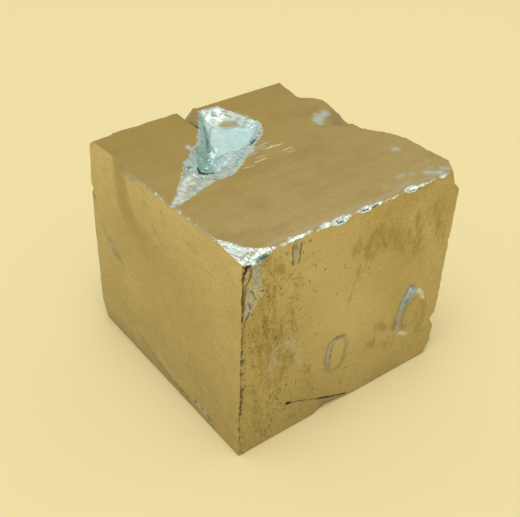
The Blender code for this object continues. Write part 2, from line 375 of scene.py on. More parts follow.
RAGGED_EDGE = (
    (-0.6, 41.8), (2.6, 41.6), (4.4, 41.4), (7.2, 41.1), (8.9, 41.6), (11.6, 41.7), (13.4, 40.9),
    (15.6, 40.3), (17.5, 38.8), (19.0, 38.0), (21.2, 38.2), (25.5, 39.3), (28.4, 40.0),
    (31.9, 40.2), (33.5, 38.8), (34.5, 37.5), (37.6, 38.0), (40.8, 38.6), (42.4, 39.0),
)
RAGGED_SLOPE = 0.4
RAGGED_PUSH = (0.9, 0, 0.4)
RAGGED_SMOOTHING = (-0.6, -0.3, 0, 0.3, 0.6)
BELOW_TOP = 0.3

edge_b, edge_a = np.asarray(RAGGED_EDGE, float).T
b = places[:, 1]
outline = np.mean([np.interp(b + shift, edge_b, edge_a) for shift in RAGGED_SMOOTHING], 0)
outline += 0.12 * lumps(whole, 0.8, 5)
slope = RAGGED_SLOPE * (1 + 0.4 * lumps(whole * (0, 1, 0), 4.0, 6))
past = places[:, 0] - outline - slope * (HEIGHT - places[:, 2])
push = unit_vector(RAGGED_PUSH)
ragged = np.flatnonzero(past > 0)
mark("fresh", EVERYWHERE, np.where(HEIGHT - places[:, 2] > BELOW_TOP, past, -1))
sink(ragged, (past / (push[0] + slope * push[2]))[ragged], push, 0.12, 1.6)
gentle_chip = (
    ((32.2, 23.6, 36), (37.0, 28.8, 36), (39.4, 23.6, 34.9)),
    ((32.2, 23.8, 36), (39.4, 20.4, 36), (38.2, 22.6, 35.0)),
)
split_off(gentle_chip, (40, 26, 39), (0.2, 0, 1), 9, None, 0.12, 2.2)
right_shoulder = (
    ((39.0, -0.5, 36), (41.3, 2.6, 36), (40.1, -0.5, 33.0)),
    ((39.9, -0.5, 32.9), (41.3, -0.5, 32.3), (41.3, 3.0, 33.4)),
)
split_off(right_shoulder, (42.2, -1.2, 37), (0.8, -0.5, 0.5), 5, "worn", 0.05, 1.0)

# The fresh break in the top: a bowl with a flat cleavage floor, a rough step down to a
# crevice, and a shallow tail that runs out at the left edge

bowl = (
    ((20.3, 36.6, 34.2), (24.3, 30.4, 34.7), (16.0, 26.2, 34.7)),
    ((19.8, 41.0, 36), (24.0, 40.0, 36), (20.8, 37.3, 34.1)),
    ((24.0, 40.0, 36), (26.2, 31.5, 36), (23.4, 33.2, 34.6)),
    ((26.6, 31.8, 36), (24.2, 26.9, 36), (24.0, 30.2, 34.8)),
    ((24.4, 27.4, 36), (15.0, 20.6, 36), (19.0, 26.8, 34.4)),
    ((12.6, 29.6, 36), (18.4, 37.8, 36), (15.6, 30.0, 33.8)),
)
split_off(bowl, (19, 31, 39), UP, 12, "fresh", 0.06, 1.3)
rough_step = (
    ((9.5, 24.0, 33.6), (13.5, 27.5, 33.2), (12.0, 23.0, 33.8)),
    ((7.6, 26.0, 36), (13.4, 30.8, 36), (9.8, 25.6, 33.6)),
    ((7.8, 20.0, 36), (17.0, 22.4, 36), (12.6, 23.4, 34.0)),
    ((7.2, 25.0, 36), (7.8, 20.0, 36), (8.8, 23.2, 34.2)),
    ((17.4, 30.0, 34.6), (17.2, 23.0, 34.9), (14.6, 27.0, 33.4)),
    ((12.4, 30.2, 36), (16.8, 30.6, 36), (14.0, 29.2, 33.6)),
)
split_off(rough_step, (12.5, 26, 38), UP, 8, "fresh", 0.45, 1.1)
tail = (
    ((0.2, 16.2, 35.9), (9.0, 25.0, 35.1), (10.0, 20.4, 35.2)),
    ((0.0, 16.8, 36), (9.4, 27.2, 36), (3.0, 19.4, 35.2)),
    ((0.0, 16.0, 36), (12.4, 20.1, 36), (5.0, 18.2, 35.3)),
)
split_off(tail, (4.5, 19.5, 40), UP, 8, "fresh", 0.16, 0.7)
back_notch = (
    ((16.8, 42, 36), (16.4, 35, 36), (18.3, 42, 34.3)),
    ((20.2, 42, 36), (17.8, 36.4, 36), (18.3, 42, 34.3)),
)
# The notch facet gets painted shade
split_off(back_notch, (18.3, 41, 40), (0, 0.5, 1), 6.5, "ledge_shade", 0.08, 1.0)

# Inside the break: a bright crest along the far rim, a hollow before it that is painted brown as a
# painted reflection, the pale cleavage floor, and seams and crevices darkened with painted shade

CREST = ((20.6, 38.6), (22.7, 39.8), (24.1, 38.7), (25.0, 36.5), (25.2, 34.2))
INNER_CREST = ((20.1, 37.6), (21.8, 38.3), (23.6, 37.4), (24.5, 35.3), (24.9, 32.7), (26.4, 32.0))
HOLLOW = ((21.4, 37.2), (23.3, 36.6), (24.2, 34.8), (24.0, 32.8), (23.2, 33.8), (21.6, 35.8))
FLOOR = ((19.7, 36.1), (23.6, 33.4), (24.6, 31.5), (26.4, 30.9), (23.5, 29.1), (20.9, 27.0),
         (18.4, 26.3), (15.4, 28.0), (16.7, 32.0))
LEFT_WALL = ((19.8, 40.6), (20.6, 38.6), (19.3, 36.0), (16.7, 32.0), (15.2, 29.0), (13.4, 30.4),
             (17.0, 36.4))
GREEN_LUMPS = ((12.4, 30.2), (15.4, 31.6), (16.0, 29.6), (14.8, 27.6), (13.7, 25.4), (11.8, 24.4),
               (11.0, 27.0))
ICY_LUMPS = ((14.6, 27.6), (17.1, 26.2), (19.6, 26.0), (21.2, 26.3), (17.3, 24.3), (14.1, 24.5),
             (13.3, 25.5))
FAR_RIM = ((25.2, 37.8), (26.4, 33.6), (26.4, 31.4), (24.9, 32.6), (24.9, 35.0))
TAIL = ((0.2, 16.4), (1.4, 18.4), (9.0, 26.0), (11.0, 21.6), (5.0, 18.0))
TAIL_EDGE = ((1.0, 17.2), (4.4, 20.6), (8.4, 24.4))
STREAKED = ((12.3, 24.1), (15.3, 23.6), (18.0, 23.8), (21.8, 24.8), (24.5, 24.6), (21.0, 23.0),
            (16.6, 21.4), (12.5, 20.4), (6.0, 18.0), (1.5, 16.4), (9.0, 20.8))
LEFT_SEAM = ((19.1, 37.0), (17.0, 33.0), (15.2, 30.0))
RIGHT_SEAM = ((21.1, 26.6), (22.5, 27.7), (23.7, 28.2))
CREVICE = ((11.3, 26.7), (11.6, 26.0), (12.0, 24.5))
LOW_SEAM = ((7.6, 25.9), (8.6, 26.3), (9.9, 26.6))

BREAK_STARTS = 0.02
BREAK_FULL = 0.4
in_break = ramp(HEIGHT - places[:, 2], BREAK_STARTS, BREAK_FULL) * (unit[:, 2] == 1)


def ripple(path, half_width, rise):
    """Raises the break's surface along a path, never above the crystal's top."""
    distance, _ = path_distance(on_top(path))
    lift = rise * np.clip(1 - (distance / half_width) ** 2, 0, 1) * in_break
    top = unit[:, 2] == 1
    places[top, 2] = np.minimum(places[top, 2] + lift[top], HEIGHT)


for path, half_width, rise in (
    (CREST, 0.6, 0.5), (INNER_CREST, 0.5, 0.45), (LEFT_SEAM, 0.7, -0.4),
    (RIGHT_SEAM, 0.55, -0.9), (CREVICE, 0.6, -0.35), (LOW_SEAM, 0.3, -0.15),
):
    ripple(path, half_width, rise)
# The hollow is painted brown as a painted reflection
BREAK_AREAS = (("floor", FLOOR), ("hollow_reflection", HOLLOW), ("teal", LEFT_WALL), ("teal", GREEN_LUMPS),
               ("icy", ICY_LUMPS), ("bronze", STREAKED), ("bronze", FAR_RIM), ("bronze", TAIL))
for kind, outline in BREAK_AREAS:
    patch(kind, outline)
BREAK_MARKS = (
    # Painted glints along the tail edge and the inner crest
    ("pearl_glint", TAIL_EDGE, 0.5),
    ("crest", CREST, 0.5),
    ("crest", INNER_CREST, 0.4),
    ("pearl_glint", INNER_CREST[:4], 0.9),
    # Painted shade along the left seam of the floor
    ("seam_shade", LEFT_SEAM, 0.35),
    # Painted shade: the slot and the crevice are painted black
    ("crack_and_shade", RIGHT_SEAM, 0.42),
    ("crack_and_shade", CREVICE, 0.5),
    ("line", LOW_SEAM, 0.13),
    # Painted glint on a small bump
    ("glint_spot", ((11.8, 31.0), (11.4, 29.2)), 0.45),
    ("line", ((17.8, 41.0), (17.2, 38.4), (16.9, 36.0)), 0.4),
)
for kind, path, half_width in BREAK_MARKS:
    stroke(kind, on_top(path), half_width)

# Scratches made bright with a painted highlight, and cold grey smudges on the top

SCRATCHES = (
    ((20.6, 22.6), (24.1, 22.4), 0.26), ((20.6, 23.3), (22.6, 23.0), 0.18),
    ((17.1, 20.0), (19.4, 20.1), 0.25), ((18.0, 20.9), (20.4, 20.9), 0.19),
    ((22.2, 20.6), (24.6, 20.5), 0.18), ((23.2, 19.6), (25.0, 19.2), 0.16),
    ((14.6, 19.4), (16.6, 19.4), 0.22),
)
for start, end, half_width in SCRATCHES:
    stroke("scratch_glint", on_top((start, end)), half_width, 0.03)
BLUE_SMUDGES = (
    ((34.2, 25.6), (37.4, 27.2), 1.2), ((37.4, 10.3), (37.6, 10.0), 0.8),
    ((37.4, 7.8), (37.6, 7.6), 0.3), ((31.1, 3.4), (32.4, 3.6), 0.6), ((33.4, 3.1), (33.8, 2.8), 0.4),
    ((35.7, 1.9), (37.4, 0.7), 0.7), ((38.6, 1.4), (39.2, 0.9), 0.5), ((38.2, 4.7), (38.7, 4.4), 0.35),
    ((37.3, 3.0), (37.6, 2.6), 0.3), ((28.4, 1.2), (32.0, 1.4), 0.3),
    ((11.4, 30.6), (11.5, 29.6), 0.5), ((35.6, 27.4), (34.0, 24.8), 0.9),
)
for start, end, half_width in BLUE_SMUDGES:
    stroke("blue", on_top((start, end)), half_width)
stroke("shade", on_top(((38.6, 26.0), (37.2, 22.6))), 1.6)
stroke("line", on_top(((32.4, 24.2), (34.4, 22.8), (37.0, 21.2))), 0.14)

# The chips on the nearest corner and along the edges of the top

FRONT_EDGE = (0, -1, 1)
LEFT_EDGE = (-1, 0, 1)

bright_chip = (((-0.1, 6.2, 36), (3.8, -0.3, 36), (-0.4, -0.4, 35.2)),)
split_off(bright_chip, (-1, -1, 40), (-0.3, -0.3, 1), 8, "fresh", 0.09, 0.8, 3.0)
dark_chip = (((4.4, 0.2, 36), (2.7, -0.4, 34.6), (1.8, 1.2, 35.6)),)
split_off(dark_chip, (3.4, -2, 37), (-0.3, -0.7, 0.7), 3, "fresh", 0.2, 0.5, 2.0)
stroke("teal", [(2.6, -0.3, 35.2), (3.8, -0.2, 35.5)], 0.6)
# Painted shade under the dark chip
stroke("seam_shade", [(2.4, -0.3, 35.1), (3.6, -0.3, 35.2)], 0.6)
# Painted glint on the bright corner chip
stroke("pearl_glint", [(-0.2, 4.6, 36), (0.6, 0.8, 36), (1.0, 0.0, 36), (3.6, 0.0, 36)], 2.0)
FRONT_EDGE_CHIPS = (
    (6.6, 1.8, 0.8, 0.5, "worn"),
    (8.7, 2.2, 1.1, 0.6, "fresh"),
    (10.9, 1.6, 0.9, 0.5, "fresh"),
    (14.2, 1.6, 1.1, 0.7, "fresh"),
    (16.6, 2.2, 1.1, 1.2, "fresh"),
    (19.5, 1.5, 0.8, 0.5, "worn"),
    (21.4, 1.6, 1.1, 0.9, "fresh"),
    (23.4, 1.6, 0.8, 0.7, "fresh"),
    (27.0, 1.2, 0.8, 0.55, "fresh"),
    (28.9, 0.8, 0.7, 0.5, "fresh"),
    (30.6, 1.5, 1.2, 0.9, "fresh"),
    (32.4, 1.5, 0.8, 0.7, "fresh"),
    (35.4, 1.8, 0.6, 0.4, "fresh"),
    (38.4, 1.2, 0.5, 0.4, "fresh"),
)
for a, along, across, deep, kind in FRONT_EDGE_CHIPS:
    scoop_out((a, -0.7, 36.3), (along, across, deep), FRONT_EDGE, kind, 0.35, 0.5)
CHIP_SHADOWS = (((16.4, 35.7), (17.4, 35.5)), ((21.0, 36.0), (22.0, 35.8)),
                ((22.6, 35.8), (23.8, 35.9)), ((30.2, 35.9), (31.0, 35.8)), ((31.6, 35.7), (32.4, 35.6)))
# Painted shadows under the chips
for start, end in CHIP_SHADOWS:
    stroke("crack_and_shade", on_front((start, end)), 0.2)
stroke("worn", on_top(((5.0, 0.7), (18.0, 0.5), (40.0, 0.6))), 0.45)
# Painted glints along the chipped front edge
stroke("pearl_glint", on_top(((6.0, 0.0), (40.0, 0.0))), 1.0)
LEFT_EDGE_CHIPS = (
    (29.8, 4.0, 0.9, 1.4),
    (23.0, 2.4, 0.7, 0.7),
    (18.6, 2.2, 0.8, 0.7),
    (13.2, 2.0, 0.6, 0.6),
    (8.9, 1.6, 0.5, 0.5),
)
for b, along, across, deep in LEFT_EDGE_CHIPS:
    scoop_out((-0.4, b, 36.2), (across, along, deep), LEFT_EDGE, "worn", 0.15, 0.8)
chance = np.random.default_rng(41)
for number in range(30):
    a = 6.4 + 1.14 * number + chance.uniform(-0.5, 0.5)
    size = chance.uniform(0.15, 0.42)
    kind = "fresh" if number % 3 == 0 else "worn"
    scoop_out((a, -0.5, 36.05), (2.2 * size, size, size), FRONT_EDGE, kind, 0.1, 0.5)
for number in range(26):
    b = 6.0 + 0.75 * number + chance.uniform(-0.4, 0.4)
    size = chance.uniform(0.15, 0.42)
    kind = "fresh" if number % 3 == 0 else "worn"
    scoop_out((-0.2, b, 36.05), (size, 2.0 * size, size), LEFT_EDGE, kind, 0.1, 0.5)

# Cracks and pits down the nearest edge, mostly on its front side, and nicks in the two outer
# upright edges

for number in range(40):
    z = 3.0 + 0.78 * number + chance.uniform(-0.4, 0.4)
    size = chance.uniform(0.14, 0.36) * (0.8 + 0.5 * z / HEIGHT)
    aside = chance.uniform(-0.1, 0.5)
    left_plane, _, front_plane, _ = side_planes(z)
    scoop_out((left_plane + aside, front_plane - 0.05, z), (size, 0.9 * size, 1.7 * size),
              (-0.3, -1, 0), "pit", 0.08, 0.4, 3.0)
# This gouge is darkened with painted shade
scoop_out((-0.4, -0.35, 18.6), (0.95, 0.5, 0.8), (-0.4, -1, 0), "seam_shade", 0.15, 0.5, 2.0)
NICKS = (
    ((41.1, -0.6, 22.9), (0.6, 1.2, 0.6), (1, -1, 0)),
    ((40.1, -0.4, 7.1), (1.1, 1.6, 1.2), (1, -1, 0)),
    ((-0.6, 42.3, 27.4), (0.75, 1.1, 0.8), (-1, 1, 0)),
)
for centre, radii, push in NICKS:
    scoop_out(centre, radii, push, "worn", 0.08)
back_left_chip = (
    ((-0.5, 41.2, 36), (4.6, 41.5, 36), (-0.5, 42.4, 34.8)),
    ((4.5, 42.5, 36), (4.3, 41, 36), (4.1, 42.5, 35)),
)
# The facet of this chip gets painted shade
split_off(back_left_chip, (1.5, 44, 38), (0, 0.8, 0.6), 5, "ledge_shade", 0.06, 1.0)
low_corner = (((40.2, -0.2, 3.2), (38.4, 0.2, 0), (40.2, 3.4, 0.6)),)
split_off(low_corner, (42, -2, -1), (0.7, -0.5, -0.3), 5, "worn", 0.05, 1.0)

# The marks of the front face: a thin peeled patch by the nearest edge, a short trough, two
# rounded scars left by smaller crystals, and a crack that ends where a flake has gone

PEEL = ((0.2, 34.6), (1.3, 34.9), (2.9, 34.2), (3.1, 30.9), (4.1, 29.8), (3.7, 28.8), (2.5, 28.4),
        (2.1, 27.5), (1.1, 26.1), (0.4, 25.0), (0.0, 26.4), (0.1, 29.4))
PEEL_DEPTH = 0.25
peel_side, peel_inside = patch("peel", PEEL, 1)
uneven = 1 + 0.5 * lumps(whole[peel_side], 0.6, 8)
places[peel_side, 1] += PEEL_DEPTH * ramp(peel_inside, -0.1, 0.5) * uneven
stroke("frost", on_front(((2.2, 34.0), (2.5, 31.4))), 0.7)
stroke("rust", on_front(((0.3, 34.8), (1.1, 34.8), (0.3, 33.9))), 0.42)
PEEL_CRACKS = (
    ((1.3, 34.2), (1.5, 33.2), (1.1, 32.3), (0.5, 31.4), (0.5, 30.3), (0.1, 29.3), (0.2, 27.8)),
    ((1.2, 30.4), (1.8, 29.8), (2.0, 28.8)), ((1.2, 27.0), (0.6, 26.0), (0.1, 25.6)),
    ((0.9, 28.6), (1.3, 27.6)), ((3.2, 29.6), (3.9, 29.2)),
)
FACE_CRACKS = (
    ((7.9, 20.7), (9.0, 20.2), (9.9, 20.6)), ((9.6, 22.4), (9.9, 21.6)),
    ((5.6, 20.6), (6.0, 19.0), (5.6, 18.2)), ((3.2, 24.6), (3.4, 23.0)),
    ((6.4, 32.2), (6.8, 30.8)), ((5.0, 31.6), (5.4, 30.2), (5.2, 29.2)),
    ((11.8, 30.6), (12.0, 29.4)), ((7.4, 26.2), (8.6, 26.6)), ((1.4, 22.4), (2.6, 22.6)),
    ((0.6, 20.2), (1.8, 20.0)), ((0.8, 16.6), (1.9, 16.9)),
)
for crack in PEEL_CRACKS:
    stroke("line", on_front(crack), 0.24)
for crack in FACE_CRACKS:
    stroke("line", on_front(crack), 0.15)
scoop_out((8.9, -0.55, 33.9), (0.7, 0.35, 2.9), OUT_FRONT, "scar", 0.06, 0.5, 2.0)
stroke("line", on_front(((8.2, 34.9), (8.3, 31.8))), 0.26)
stroke("line", on_front(((9.7, 34.9), (9.4, 31.6))), 0.22)

OVAL_SCAR = ((19.0, 13.8), (17.7, 14.0), (16.7, 13.5), (16.2, 12.4), (16.0, 10.4), (16.2, 8.8))
OVAL_RIM = ((19.1, 13.9), (19.8, 11.7), (19.2, 8.2), (17.2, 7.4), (15.8, 8.8))
CRESCENT_SCAR = ((33.4, 16.5), (32.9, 15.7), (32.0, 14.1), (31.4, 11.9), (31.2, 9.3))
CRESCENT_TOP = ((33.5, 16.0), (32.9, 15.4), (32.1, 14.0))
GLINT_SPOTS = (((35.3, 15.2), (35.9, 14.4), 0.6), ((35.9, 14.2), (36.6, 13.0), 0.4),
                ((31.8, 7.9), (33.6, 6.9), 0.5), ((33.2, 16.4), (33.4, 16.0), 0.35))
CRACK = ((8.2, 5.6), (10.6, 4.8), (13.2, 3.6), (15.6, 2.5))

stroke("scar", on_front(OVAL_SCAR), 0.5, 0.16, INTO_FRONT)
stroke("cold", on_front(OVAL_SCAR[:3]), 0.45)
stroke("rim", on_front([(a - 0.5, z + 0.1) for a, z in OVAL_SCAR]), 0.3)
stroke("line", on_front([(a + 0.5, z - 0.2) for a, z in OVAL_SCAR]), 0.16)
stroke("rim", on_front(OVAL_RIM), 0.35, 0.04, INTO_FRONT)
stroke("scar", on_front(CRESCENT_SCAR), 0.9, 0.22, INTO_FRONT)
stroke("scar", on_front(((33.6, 15.4), (32.8, 14.4))), 1.1)
stroke("rim", on_front([(a - 0.85, z) for a, z in CRESCENT_SCAR]), 0.4)
stroke("rim", on_front([(a + 0.85, z) for a, z in CRESCENT_SCAR[2:]]), 0.4)
stroke("cold", on_front(CRESCENT_TOP), 1.3)
stroke("cold", on_front(((33.4, 15.6), (35.0, 15.0))), 0.55)
stroke("rim", on_front(((33.4, 13.4), (34.6, 14.0))), 0.35)
# Painted glints on and beside the scars
for start, end, half_width in GLINT_SPOTS:
    stroke("glint_spot", on_front((start, end)), half_width, 0.04, INTO_FRONT)
stroke("crack_and_shade", on_front(CRACK), 0.22, 0.12, INTO_FRONT)
stroke("crack_and_shade", on_front(((8.2, 5.6), (8.7, 5.4))), 0.35, 0.3, INTO_FRONT)
lost_flake = (
    ((14.2, 0.1, 3.0), (21.2, 0.2, 0.5), (17.4, 0.95, -0.1)),
    ((13.4, 0.05, 3.0), (14.0, 0.3, 0), (16.4, 0.85, 0)),
)
# The facet left by the lost flake gets painted shade
split_off(lost_flake, (18, -2, -1), (-0.1, -0.8, -0.6), 4.8, "ledge_shade", 0.08, 0.9)
stroke("rust", on_front(((14.6, 2.9), (17.5, 1.8), (20.4, 0.8))), 0.35)
ARCHED_MARK = ((5.0, 13.2), (5.4, 17.4), (6.6, 18.6), (8.3, 18.2), (9.6, 16.4), (10.2, 12.8))
stroke("ghost", on_front(ARCHED_MARK), 0.8)

# Two wide soft bands: a painted highlight that makes the front face paler, and painted shade that
# makes the left face duskier. A point at distance d has exp(-(d / reach)^2) of it

PALE_HIGHLIGHT_BAND = ((9.0, 34.0), (14.0, 29.0), (17.0, 20.0), (19.0, 14.0))
DUSKY_SHADE_BAND = ((29.0, 24.0), (17.0, 23.0))
BAND_REACH = 8.0
for kind, path, axis in (("pale_highlight", on_front(PALE_HIGHLIGHT_BAND), 1), ("dusk_shade", on_left(DUSKY_SHADE_BAND), 0)):
    distance, _ = path_distance(path)
    marks[kind] = np.where(unit[:, axis] == 0, np.exp(-(distance / BAND_REACH) ** 2), 0)

# Brown stains of the front face

STAINS = (
    ((4.5, 23.1), (6.4, 18.6), 1.4), ((7.5, 25.3), (9.6, 20.0), 1.0),
    ((3.5, 24.0), (7.0, 14.0), 2.6), ((20.5, 30.0), (23.5, 27.0), 1.6),
    ((24.5, 30.0), (30.0, 27.0), 2.4), ((21.0, 25.5), (20.0, 20.5), 0.8),
    ((32.5, 30.0), (33.5, 24.0), 1.6), ((36.5, 31.0), (38.5, 24.0), 1.4),
    ((3.0, 22.0), (4.6, 12.0), 1.6), ((36.5, 12.0), (36.5, 6.0), 1.6),
    ((25.0, 9.0), (30.0, 6.5), 1.2), ((12.0, 11.0), (12.6, 6.0), 0.9),
    ((4.0, 34.0), (7.0, 31.0), 1.6), ((4.0, 24.0), (6.5, 13.0), 3.0),
    ((26.0, 12.0), (33.0, 9.0), 1.2), ((4.4, 29.4), (3.8, 22.0), 1.8),
    ((1.6, 12.0), (3.0, 3.0), 1.2),
)
for start, end, half_width in STAINS:
    stroke("stain", on_front((start, end)), half_width)

# The cold streak and the grey marks on the ledge of the left face

LEFT_MARKS = (
    ("ghost", ((40.8, 19.6), (36.4, 18.8), (32.8, 17.6)), 0.6, 0.05),
    ("scar", ((38.8, 20.4), (36.4, 19.2), (34.2, 18.2)), 0.25, 0),
    ("line", ((38.8, 19.6), (36.4, 18.4), (33.4, 16.6)), 0.2, 0),
    ("line", ((34.6, 18.6), (34.0, 17.2)), 0.2, 0),
    ("line", ((24.0, 31.0), (18.0, 26.6), (12.0, 24.0)), 0.12, 0),
    ("line", ((16.0, 29.0), (11.0, 25.4)), 0.12, 0),
    ("rim", ((38.6, 20.8), (35.6, 19.0), (32.8, 17.0)), 0.3, 0),
    ("line", ((41.6, 26.4), (40.8, 26.0)), 0.3, 0),
    ("ghost", ((22.6, 4.2), (19.4, 3.2), (16.4, 2.6)), 0.8, 0),
    ("shade", ((28.0, 3.4), (21.0, 1.6), (12.0, 0.9), (7.0, 0.8)), 0.9, 0),
    ("line", ((29.4, 5.6), (21.9, 2.5), (16.4, 1.4), (12.0, 1.6)), 0.18, 0.05),
    ("scar", ((12.4, 2.4), (9.6, 2.2), (7.6, 1.7)), 0.6, 0),
    ("pit", ((16.9, 0.6), (15.5, 2.0), (13.9, 1.4)), 0.3, 0),
)
for kind, path, half_width, fall in LEFT_MARKS:
    stroke(kind, on_left(path), half_width, fall, INTO_LEFT)

# The far faces and the foot

back_ledge = (
    ((20.5, 41.5, 36), (38.0, 41.6, 36), (21.5, 42.1, 0)),
    ((20.5, 41.4, 36), (20.5, 43.0, 36), (25.0, 42.0, 0)),
)
split_off(back_ledge, (36, 53, 30), OUT_BACK, 16, None, 0.02, 3.0)
right_ledge = (
    ((40.6, 24, 18), (40.2, 30, 4), (40.7, 42, 17)),
    ((40.9, 22, 20), (42.0, 22, 20), (40.9, 40, 24)),
    ((40.9, 22, 20), (42.0, 22, 20), (40.0, 27, 3)),
)
split_off(right_ledge, (52, 40, 8), OUT_RIGHT, 13, None, 0.02, 3.0)
foot_corner = (((35.0, 42.3, 0), (39.9, 37.0, 0), (40.0, 42.3, 2.8)),)
split_off(foot_corner, (43, 45, -1), (0.6, 0.6, -0.5), 7, "fresh", 0.1, 1.2)
BACK_PITS = ((7, 12, 0.5, 1.9), (12.5, 25, 0.7, 1.2), (15, 6.5, 0.4, 1), (27, 10, 0.9, 1.5),
             (31.5, 22, 0.4, 2.2), (35, 4, 0.6, 0.9))
for a, z, across, up in BACK_PITS:
    scoop_out((a, 42.1, z), (across, 0.5, up), OUT_BACK, "pit", 0.08, 0.8)
RIGHT_PITS = ((7, 9, 1.6, 0.5), (12, 24, 2.4, 0.4), (18, 13, 1, 0.7), (23, 5, 1.3, 0.5),
              (9, 29, 0.9, 0.6))
for b, z, along, up in RIGHT_PITS:
    scoop_out((side_planes(z)[1], b, z), (0.5, along, up), OUT_RIGHT, "pit", 0.08, 0.8)

FACE_SHIFT = 100


def surface(name, quads, side_axes):
    """Makes the mesh, with a UV map that runs along and across each face's growth lines."""
    mesh = bpy.data.meshes.new(name)
    corners = np.concatenate(quads)
    mesh.vertices.add(len(places))
    metres = (places - (HALF_WIDTH, HALF_DEPTH, 0)) * MM
    mesh.vertices.foreach_set("co", metres.astype(np.float32).ravel())
    mesh.loops.add(corners.size)
    mesh.loops.foreach_set("vertex_index", corners.astype(np.int32).ravel())
    mesh.polygons.add(len(corners))
    mesh.polygons.foreach_set("loop_start", np.arange(0, corners.size, 4, dtype=np.int32))
    mesh.update(calc_edges=True)
    lines = []
    for number, (quad, (along, across)) in enumerate(zip(quads, side_axes)):
        flat = whole[quad.ravel()]
        lines.append(np.stack([flat[:, along], flat[:, across] + FACE_SHIFT * number], -1))
    uv = mesh.uv_layers.new(name="growth_lines")
    uv.uv.foreach_set("vector", np.concatenate(lines).astype(np.float32).ravel())
    return mesh


GROWTH_LINES = ((0, 1), (0, 1), (1, 2), (1, 2), (2, 0), (2, 0))
NEAR_REACH = 21.0
EDGE_REACH = 1.8
SHARP_ANGLE = radians(28)

crystal_mesh = surface("pyrite_crystal", face_quads, GROWTH_LINES)
marks["top_side"] = (unit[:, 2] == 1).astype(float)
marks["front_side"] = (unit[:, 1] == 0).astype(float)
marks["lowness"] = 1 - whole[:, 2] / HEIGHT
marks["farness"] = whole[:, 1] / BACK_AT_TOP
marks["left_side"] = (unit[:, 0] == 0).astype(float)
marks["near_side"] = np.where(unit[:, 1] == 0, 1 - whole[:, 0] / NEAR_REACH, 0)
marks["near_edge"] = np.where(unit[:, 1] == 0, 1 - (whole[:, 0] - left) / EDGE_REACH, -1)
for kind, inside in marks.items():
    attribute = crystal_mesh.attributes.new(kind, "FLOAT", "POINT")
    attribute.data.foreach_set("value", inside.astype(np.float32))
crystal_mesh.shade_smooth()
crystal_mesh.set_sharp_from_angle(angle=SHARP_ANGLE)
crystal = bpy.data.objects.new("pyrite_crystal", crystal_mesh)
bpy.context.scene.collection.objects.link(crystal)

# The finish. Old growth faces are satin brass, ruled with fine growth lines and clouded with thin
# tarnish. Fresh breaks are bright, cold and silvery, old scars are dull grey, and the flaw is rusty

BRASS = (0.61, 0.51, 0.27)
BRASS_DEEP = (0.50, 0.40, 0.18)
BRASS_TOP_LIT = (0.65, 0.52, 0.23)
BRASS_TOP_FAR_SHADED = (0.525, 0.38, 0.07)
TOP_BROWN = (0.42, 0.30, 0.09)
SHADED_OLIVE = (0.435, 0.40, 0.275)
SHADE_BROWN = (0.40, 0.31, 0.13)
STAIN_BROWN = (0.36, 0.28, 0.10)
SILVER = (0.74, 0.86, 0.89)
SILVER_BLUE = (0.46, 0.64, 0.64)
SEAM_SHADE_TEAL = (0.10, 0.17, 0.16)
SILVER_FACET_SHADE = (0.12, 0.16, 0.13)
FLOOR_BLUE = (0.575, 0.83, 0.88)
ICE = (0.66, 0.90, 0.98)
HOLLOW_REFLECTED_BROWN = (0.46, 0.38, 0.20)
PALE_BRASS_AND_SHEEN = (0.69, 0.60, 0.36)
GHOST_GREY = (0.54, 0.49, 0.42)
WORN_GREY = (0.50, 0.45, 0.33)
SCAR_GREY = (0.44, 0.45, 0.40)
SCRATCH_GLINT = (0.95, 0.92, 0.76)
FROST = (0.44, 0.47, 0.52)
TROUGH_DARK = (0.20, 0.17, 0.13)
SCAR_BLUE = (0.26, 0.40, 0.66)
PEEL_GREY = (0.57, 0.565, 0.52)
SMUDGE_BLUE = (0.53, 0.68, 0.71)
GLINT = (0.82, 0.86, 0.90)
PEARL_GLINT = (0.88, 0.95, 0.89)
RUST = (0.085, 0.038, 0.014)
LINE_BROWN = (0.16, 0.12, 0.05)
PIT_SHADE_DARK = (0.05, 0.04, 0.015)
CRACK_AND_SHADE_BLACK = (0.022, 0.018, 0.012)
TEAL = (0.27, 0.49, 0.44)
BRONZE = (0.57, 0.60, 0.44)


class Signal:
    """A value or a colour in the crystal's shader. Arithmetic on a value adds Math nodes."""

    tree = None

    def __init__(self, socket):
        self.socket = socket

    @classmethod
    def node(cls, kind, settings, values, output=0):
        """Adds a node, sets its settings, then gives each named or numbered socket its value."""
        made = cls.tree.nodes.new(kind)
        for name, setting in settings.items():
            setattr(made, name, setting)
        for name, value in values.items():
            if isinstance(value, Signal):
                cls.tree.links.new(value.socket, made.inputs[name])
            else:
                made.inputs[name].default_value = value
        return cls(made.outputs[output]) if made.outputs else None

    @classmethod
    def math(cls, operation, *values):
        return cls.node("ShaderNodeMath", {"operation": operation}, dict(enumerate(values)))

    def __add__(self, other):
        return self.math("ADD", self, other)

    def __radd__(self, other):
        return self.math("ADD", other, self)

    def __sub__(self, other):
        return self.math("SUBTRACT", self, other)

    def __rsub__(self, other):
        return self.math("SUBTRACT", other, self)

    def __mul__(self, other):
        return self.math("MULTIPLY", self, other)

    def __rmul__(self, other):
        return self.math("MULTIPLY", other, self)

    def __abs__(self):
        return self.math("ABSOLUTE", self)


def kept(name):
    """The amount of one kind of mark, read from the mesh."""
    return Signal.node("ShaderNodeAttribute", {"attribute_name": name}, {}, "Fac")


def step_up(value, low, high):
    """0 at low and 1 at high, smooth between. With high below low it falls instead."""
    settings = {"interpolation_type": "SMOOTHSTEP"}
    return Signal.node("ShaderNodeMapRange", settings,
                       {"Value": value, "From Min": low, "From Max": high})


